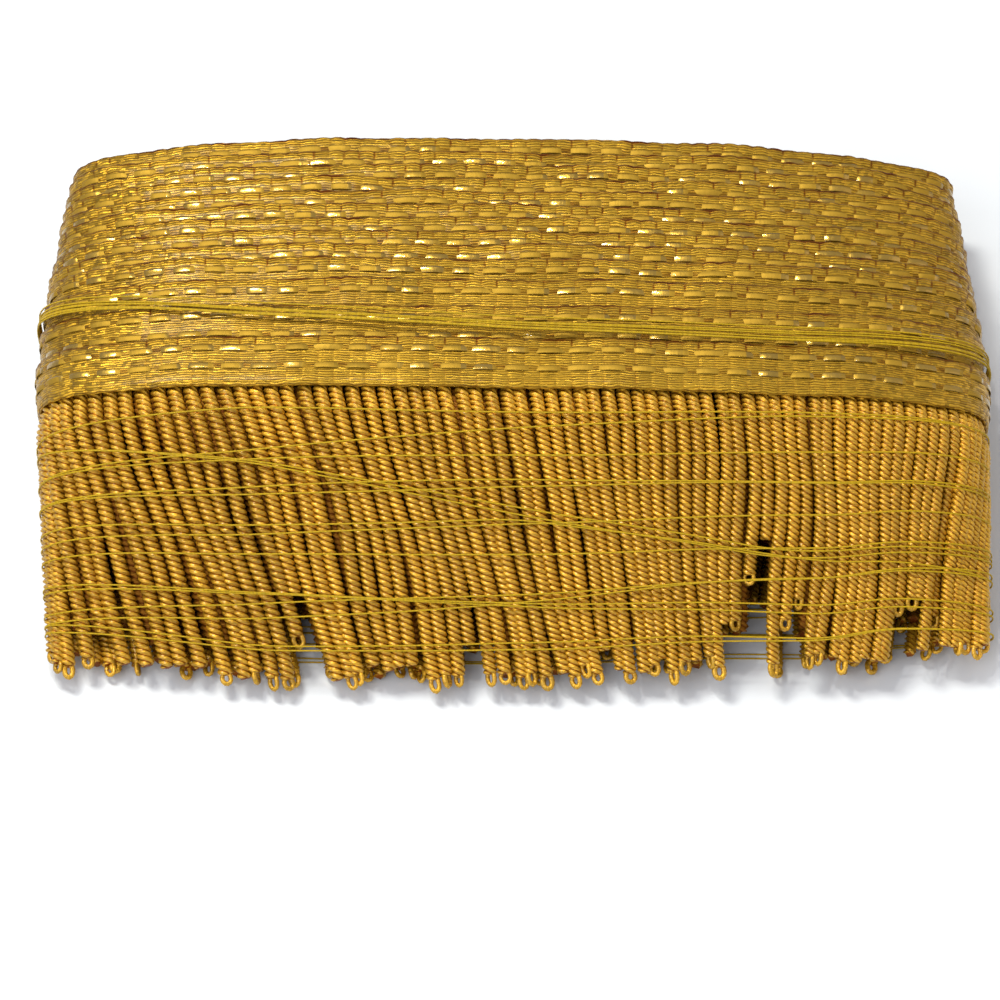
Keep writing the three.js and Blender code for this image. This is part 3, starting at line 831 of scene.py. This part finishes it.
class CordMaker:
    """Lays cords on the skirt, each with its own length, wave, depth and loop."""

    def __init__(self, settings):
        self.diameter = settings.diameter
        self.lead = settings.lead / MM
        self.wave = settings.wave / MM
        self.random = np.random.default_rng(settings.seed)

    def cord(self, shape, u, length_share, fine, depth, tone, loop, scale=1.0, root_depth=0.0):
        """One cord, from under the heading to its tip, with a loop where its ply turns back."""
        across = across_at(u)
        lead = self.lead * (1 - LEAD_TIGHTENING * across)
        diameter = self.diameter * scale * (1 - THINNING * across)
        rings_per_lead = 10 if fine else 7
        total = int(CORD_LENGTH * (length_share + UNDER_HEADING) / lead * rings_per_lead)
        along = np.linspace(-UNDER_HEADING, length_share, total)
        mm_along = along * CORD_LENGTH
        path, outward = self.course(u, along, diameter / MM / 2, depth, root_depth)
        angles = -2 * math.pi * mm_along / lead + self.random.random() * 2 * math.pi
        profile = three_ply_profile(diameter, fine)
        rings = swept(path, outward, profile, angles)
        rings[-1] = path[-1] + (rings[-1] - path[-1]) * 0.75
        rings[..., 2] = np.maximum(rings[..., 2], 0)
        shape.tube(rings, mm_along, tone=tone)
        if loop:
            self.loop(shape, path, outward, tone)

    def course(self, u, along, radius, depth, root_depth):
        """The way that the middle of the cord at u takes, and the direction out of the skirt there."""
        random = self.random
        from_root = np.clip(along, 0, 1)
        mm_along = along * CORD_LENGTH
        slide = tip_slide(u) * from_root
        if is_above(u):
            slide += between(CORD_BOW, across_at(u)) * np.sin(math.pi * from_root)
        side_wave = smooth_noise(random, mm_along, (31, 47)) * self.wave * 0.35
        side_wave += self.shared_wave(u, mm_along)
        side_wave *= np.clip(from_root * 4, 0, 1)
        tip_swing = random.normal(0, 0.3) * from_root ** 3 + random.normal(0, 0.3) * from_root
        place_u = u - (slide + side_wave + tip_swing) / TIP_GIRTH
        dive = DIVE * np.clip(1 - (along + UNDER_HEADING) / DIVE_SHARE, 0, 1) + 0.15
        sink = root_depth + (depth - root_depth) * np.clip(from_root * 3, 0, 1)
        sink = sink + 0.12 * np.abs(smooth_noise(random, mm_along, (13, 29)))
        return skirt_place(along, place_u, radius + dive + sink)

    def shared_wave(self, u, mm_along):
        """The sideways wave that neighbouring cords share, in mm."""
        total = 0.0
        for turns, wavelength, start in ((5, 64, 0.1), (9, 41, 0.45)):
            total = total + np.sin(2 * math.pi * (turns * u + mm_along / wavelength + start))
        return total * self.wave * 0.8

    def loss_at(self, u, under=False):
        """The share of its length by which a cord at u ends early, from its place across."""
        x = SKIRT.at(np.ones(1), np.array([u]))[0][0]
        if not under:
            x = x + tip_slide(u)
        loss = between(TIP_LOSS, x / HALF_WIDTH)
        for middle, half, lost in TIP_GAPS:
            if abs(x - middle) < half:
                loss += lost * self.random.uniform(0.85, 1.1)
        return loss

    def loop(self, shape, path, outward, tone):
        """The eye at a cord's tip: one ply bent round through half a turn."""
        random = self.random
        sideways, outward, forward = frames(path, outward)
        tilt = random.normal(0, 0.7)
        across = sideways[-1] * math.cos(tilt) + outward[-1] * math.sin(tilt)
        radius = self.diameter * random.uniform(0.15, 0.2)
        length = self.diameter * random.uniform(0.36, 0.52)
        width = self.diameter * random.uniform(0.26, 0.34)
        angle = np.arange(12) / 12 * 2 * math.pi
        run, rise = np.cos(angle) * length, np.sin(angle) * width
        centre = path[-1] + forward[-1] * length * 0.55
        ring = centre + np.outer(run, forward[-1]) + np.outer(rise, across)
        tangent = np.outer(-np.sin(angle) * length, forward[-1]) + np.outer(np.cos(angle) * width, across)
        plane = np.broadcast_to(np.cross(forward[-1], across), ring.shape)
        rings = ringed(ring, round_profile(radius, 6), np.cross(plane, normalised(tangent)), plane)
        rings[..., 2] = np.maximum(rings[..., 2], 0)
        arounds = np.array([0, 2, 4, 2, 0, -2, 0]) * 0.02
        shape.tube(rings, np.arange(12) * 0.5, arounds, tone=tone, closed=True)


class FRINGE_OT_cords(bpy.types.Operator):
    """Lays the twisted cords of the outermost turn round the bundle"""
    bl_idname = "fringe.cords"
    bl_label = "Bullion cords"

    def execute(self, context):
        settings = context.scene.fringe_cords
        colours = context.scene.fringe_colours
        maker = CordMaker(settings)
        random = maker.random
        material = cord_material("metal_gimp_cord", colours.cord, colours.cord_groove_shade, 0.72, 0.5)
        left, right, under = Shape(), Shape(), Shape()
        pitch = 1 / settings.count
        for i in range(settings.count):
            u = (i + 0.5) * pitch
            if is_above(u):
                # The cords stand closer together towards the right, where u is least.
                u = 0.25 + 0.5 * ((1 + settings.spread) ** (2 * u - 0.5) - 1) / settings.spread
            u += random.normal(0, SPACING_UNEVENNESS) * pitch
            is_short = random.random() < settings.short_share
            loss = random.uniform(0, 0.05) + (random.uniform(0.06, 0.16) if is_short else 0)
            loss += maker.loss_at(u, not is_above(u)) + (0.0 if is_above(u) else LOSS_BELOW)
            # The cords on top and round the ends are seen, and are made fine.
            fine = 0.2 < u < 0.8
            depth = abs(random.normal(0, 0.3)) + (0.5 if is_short else 0)
            group = under if not fine else left if u > 0.5 else right
            maker.cord(group, u, 1 - loss, fine, depth, random.random(), random.random() < LOOPED_SHARE)
        for name, shape in (("bullion_cords_left", left), ("bullion_cords_right", right),
                            ("bullion_cords_under", under)):
            shape.make(name, material, "bullion", ["bullion_outer"])
        return {"FINISHED"}


class FRINGE_OT_inner_cords(bpy.types.Operator):
    """Lays the cords of the turns inside, which show between the outer ones"""
    bl_idname = "fringe.inner_cords"
    bl_label = "Inner cords"

    def execute(self, context):
        settings = context.scene.fringe_cords
        colours = context.scene.fringe_colours
        maker = CordMaker(settings)
        maker.random = np.random.default_rng(settings.seed + 1)
        maker.wave = 0.0
        random = maker.random
        shape = Shape()
        for i in range(settings.inner_count):
            u = (i + 0.5 + random.normal(0, 0.1)) / settings.inner_count
            loss = 0.1 + random.uniform(0, 0.08) + 1.3 * maker.loss_at(u, not is_above(u))
            maker.cord(shape, u, 1 - loss, False, INNER_DEPTH, random.random(), False, INNER_SCALE,
                       INNER_ROOT_DEPTH)
        # Painted shade: the inner cords get the darker copy of the gold, with the shade colour in their
        # grooves.
        material = cord_material("metal_gimp_cord_inner_painted_shade", colours.inner_cord_painted_shade, colours.shade, 0.4, 0.0)
        shape.make("bullion_cords_inner", material, "bullion", ["skirt_core"])
        return {"FINISHED"}


# Holding threads: how far down the cords each lies at five places across the top, from left to right
SKIRT_THREADS = (
    (0.15, 0.08, 0.075, 0.07, 0.06), (0.17, 0.25, 0.42, 0.58, 0.57), (0.30, 0.23, 0.14, 0.07, 0.045),
    (0.29, 0.26, 0.23, 0.21, 0.20), (0.38, 0.35, 0.32, 0.315, 0.31), (0.55, 0.515, 0.465, 0.44, 0.43),
    (0.61, 0.58, 0.57, 0.565, 0.56), (0.71, 0.705, 0.74, 0.78, 0.82), (0.81, 0.75, 0.725, 0.68, 0.64),
    (0.86, 0.795, 0.74, 0.69, 0.67), (0.855, 0.885, 0.89, 0.9, 0.91), (0.5, 0.47, 0.455, 0.6, 0.675))

# The band of threads over the headings: its near and far side at the same places, in mm behind the
# outermost heading's near edge
BAND_NEAR = (21.0, 15.2, 12.4, 11.2, 13.0)
BAND_FAR = (25.0, 18.4, 15.2, 14.4, 17.0)

# The five places are spread over the top by their u, from right to left. Below, a thread runs
# straight back to its start.
THREAD_STOPS = (0.0, 0.25, 0.375, 0.5, 0.625, 0.75, 1.0)
THREAD_STEPS = 300
THREAD_ROUND = 370        # about the way round the bundle, in mm
SMOOTHING = 9             # steps over which a thread's course is evened out


def heading_top(back, u, rise):
    """Place and outward direction over the headings, straight from far edge to far edge."""
    turn = np.interp(back, TAPE_WIDTH + EACH_BACK, EACH_TURN)
    x, z, out_x, out_z = WOUND.at((turn + 0.5) * WINDING_ROWS, u)
    height = BUNDLE_HEIGHT - TURN_DROP * turn
    x = x + rise * out_x
    z = z + rise * out_z
    y = back + LEAN * (1 - back / ROLL_DEPTH) * (1 - np.clip(z / height, 0, 1)) - SKEW * x / HALF_WIDTH
    return placed(x, y, z), np.stack([out_x, np.zeros_like(out_x), out_z], axis=-1)


class FRINGE_OT_threads(bpy.types.Operator):
    """Winds the holding threads round the bundle"""
    bl_idname = "fringe.threads"
    bl_label = "Holding threads"

    def execute(self, context):
        settings = context.scene.fringe_threads
        random = np.random.default_rng(settings.seed)
        shape = Shape()
        radius = settings.diameter / 2
        u = np.arange(THREAD_STEPS) / THREAD_STEPS

        def spread(values):
            right_to_left = values[::-1]
            low = (right_to_left[0] + right_to_left[-1]) / 2
            return np.interp(u, THREAD_STOPS, [low, *right_to_left, low])

        def swing():
            return np.sin(2 * math.pi * (u * random.integers(1, 4) + random.random()))

        def lay(path, outward):
            path[:, 2] = np.maximum(path[:, 2], radius)
            rings = closed_sweep(path, outward, round_profile(radius, 5))
            shape.tube(rings, u * THREAD_ROUND, tone=random.random(), closed=True)

        x = SKIRT.at(np.zeros(THREAD_STEPS), u)[0]
        losses = between(TIP_LOSS, x / HALF_WIDTH)
        at_end = np.clip(1 - np.abs(np.abs(u - 0.5) - 0.25) / 0.06, 0, 1)
        drift = settings.drift / MM
        for i, values in enumerate(SKIRT_THREADS):
            along = smoothed(spread(values) * (1 - losses), SMOOTHING)
            for twin in range(2 if i % 3 == 1 else 1):
                beside = along + (twin + 0.5 * swing()) * drift / CORD_LENGTH
                lay(*skirt_place(beside, u, 0.1 + 0.4 * at_end))
        for share in random.uniform(0, 1, settings.band_count):
            within = np.clip(share + 0.12 * swing(), 0, 1)
            back = smoothed(spread(BAND_NEAR) * (1 - within) + spread(BAND_FAR) * within, SMOOTHING)
            lay(*heading_top(back, u, random.uniform(0.1, 0.3)))
        shape.make("holding_threads", holding_thread_material(context.scene.fringe_colours), "bullion")
        return {"FINISHED"}


# Stage

class FRINGE_OT_stage(bpy.types.Operator):
    """Sets the table, the soft lights and the camera"""
    bl_idname = "fringe.stage"
    bl_label = "Stage"

    def execute(self, context):
        settings = context.scene.fringe_stage
        colours = context.scene.fringe_colours
        bpy.ops.object.select_all(action="DESELECT")
        bpy.ops.mesh.primitive_plane_add(size=6, location=(0, 0, 0))
        floor = context.object
        floor.name = "floor"
        floor.data.materials.append(floor_material(colours))

        # name, place, size, power, colour
        lamps = (
            ("key_light", (-0.4, 0.35, 1.05), 0.3, 9.5, (0.98, 0.97, 0.86)),
            ("spark_light", (-0.16, 0.2, 1.05), 0.06, 2.0, (1.0, 0.97, 0.9)),
            ("fill_light", (-0.7, -0.9, 1.1), 1.2, 13.0, (1.0, 0.99, 0.97)),
            ("side_light", (1.1, 0.1, 0.8), 0.9, 3.0, (1.0, 0.8, 0.55)))
        for name, place, size, power, colour in lamps:
            bpy.ops.object.light_add(type="AREA", location=place)
            lamp = context.object
            lamp.name = name
            lamp.data.size = size
            lamp.data.energy = power
            lamp.data.color = colour
            lamp.rotation_euler = (-Vector(place)).to_track_quat("-Z", "Y").to_euler()

        context.scene.view_settings.view_transform = "Standard"
        world = bpy.data.worlds.new("studio")
        context.scene.world = world
        world.use_nodes = True
        tree = world.node_tree
        tree.nodes.clear()
        node(tree, "OutputWorld", {"Surface": node(tree, "Background", {
            "Color": (0.95, 0.97, 1.0, 1.0), "Strength": 0.6})})

        aim = Vector((-2.0 * MM, (-8.4 + SHIFT_Y) * MM, 15 * MM))
        back = Vector((0, -math.cos(settings.elevation), math.sin(settings.elevation)))
        bpy.ops.object.camera_add(location=aim + back * settings.distance)
        camera = context.object
        camera.name = "camera"
        camera.rotation_euler = (-back).to_track_quat("-Z", "Y").to_euler()
        camera.data.lens = settings.lens
        camera.data.sensor_width = 36.0
        camera.data.clip_start = 0.01
        context.scene.camera = camera
        return {"FINISHED"}


class FRINGE_PT_panel(bpy.types.Panel):
    bl_idname = "FRINGE_PT_panel"
    bl_label = "Bullion fringe"
    bl_space_type = "VIEW_3D"
    bl_region_type = "UI"
    bl_category = "Fringe"

    def draw(self, context):
        layout = self.layout
        for group in SETTINGS:
            box = layout.box()
            values = getattr(context.scene, group)
            for name in values.bl_rna.properties.keys():
                if name not in ("rna_type", "name"):
                    box.prop(values, name)
        for operator in OPERATORS:
            layout.operator(operator.bl_idname)


SETTINGS = {
    "fringe_heading": FringeHeadingSettings,
    "fringe_cords": FringeCordSettings,
    "fringe_threads": FringeThreadSettings,
    "fringe_colours": FringeColourSettings,
    "fringe_stage": FringeStageSettings,
}
OPERATORS = (FRINGE_OT_stage, FRINGE_OT_heading, FRINGE_OT_cords, FRINGE_OT_inner_cords, FRINGE_OT_threads)


def register():
    for cls in (*SETTINGS.values(), *OPERATORS, FRINGE_PT_panel):
        bpy.utils.register_class(cls)
    for name, cls in SETTINGS.items():
        setattr(bpy.types.Scene, name, bpy.props.PointerProperty(type=cls))


def unregister():
    for name in SETTINGS:
        delattr(bpy.types.Scene, name)
    for cls in (FRINGE_PT_panel, *reversed(OPERATORS), *reversed(SETTINGS.values())):
        bpy.utils.unregister_class(cls)


def main():
    register()
    bpy.ops.fringe.stage()
    bpy.ops.fringe.heading()
    bpy.ops.fringe.cords()
    bpy.ops.fringe.inner_cords()
    bpy.ops.fringe.threads()


if __name__ == "__main__":
    main()
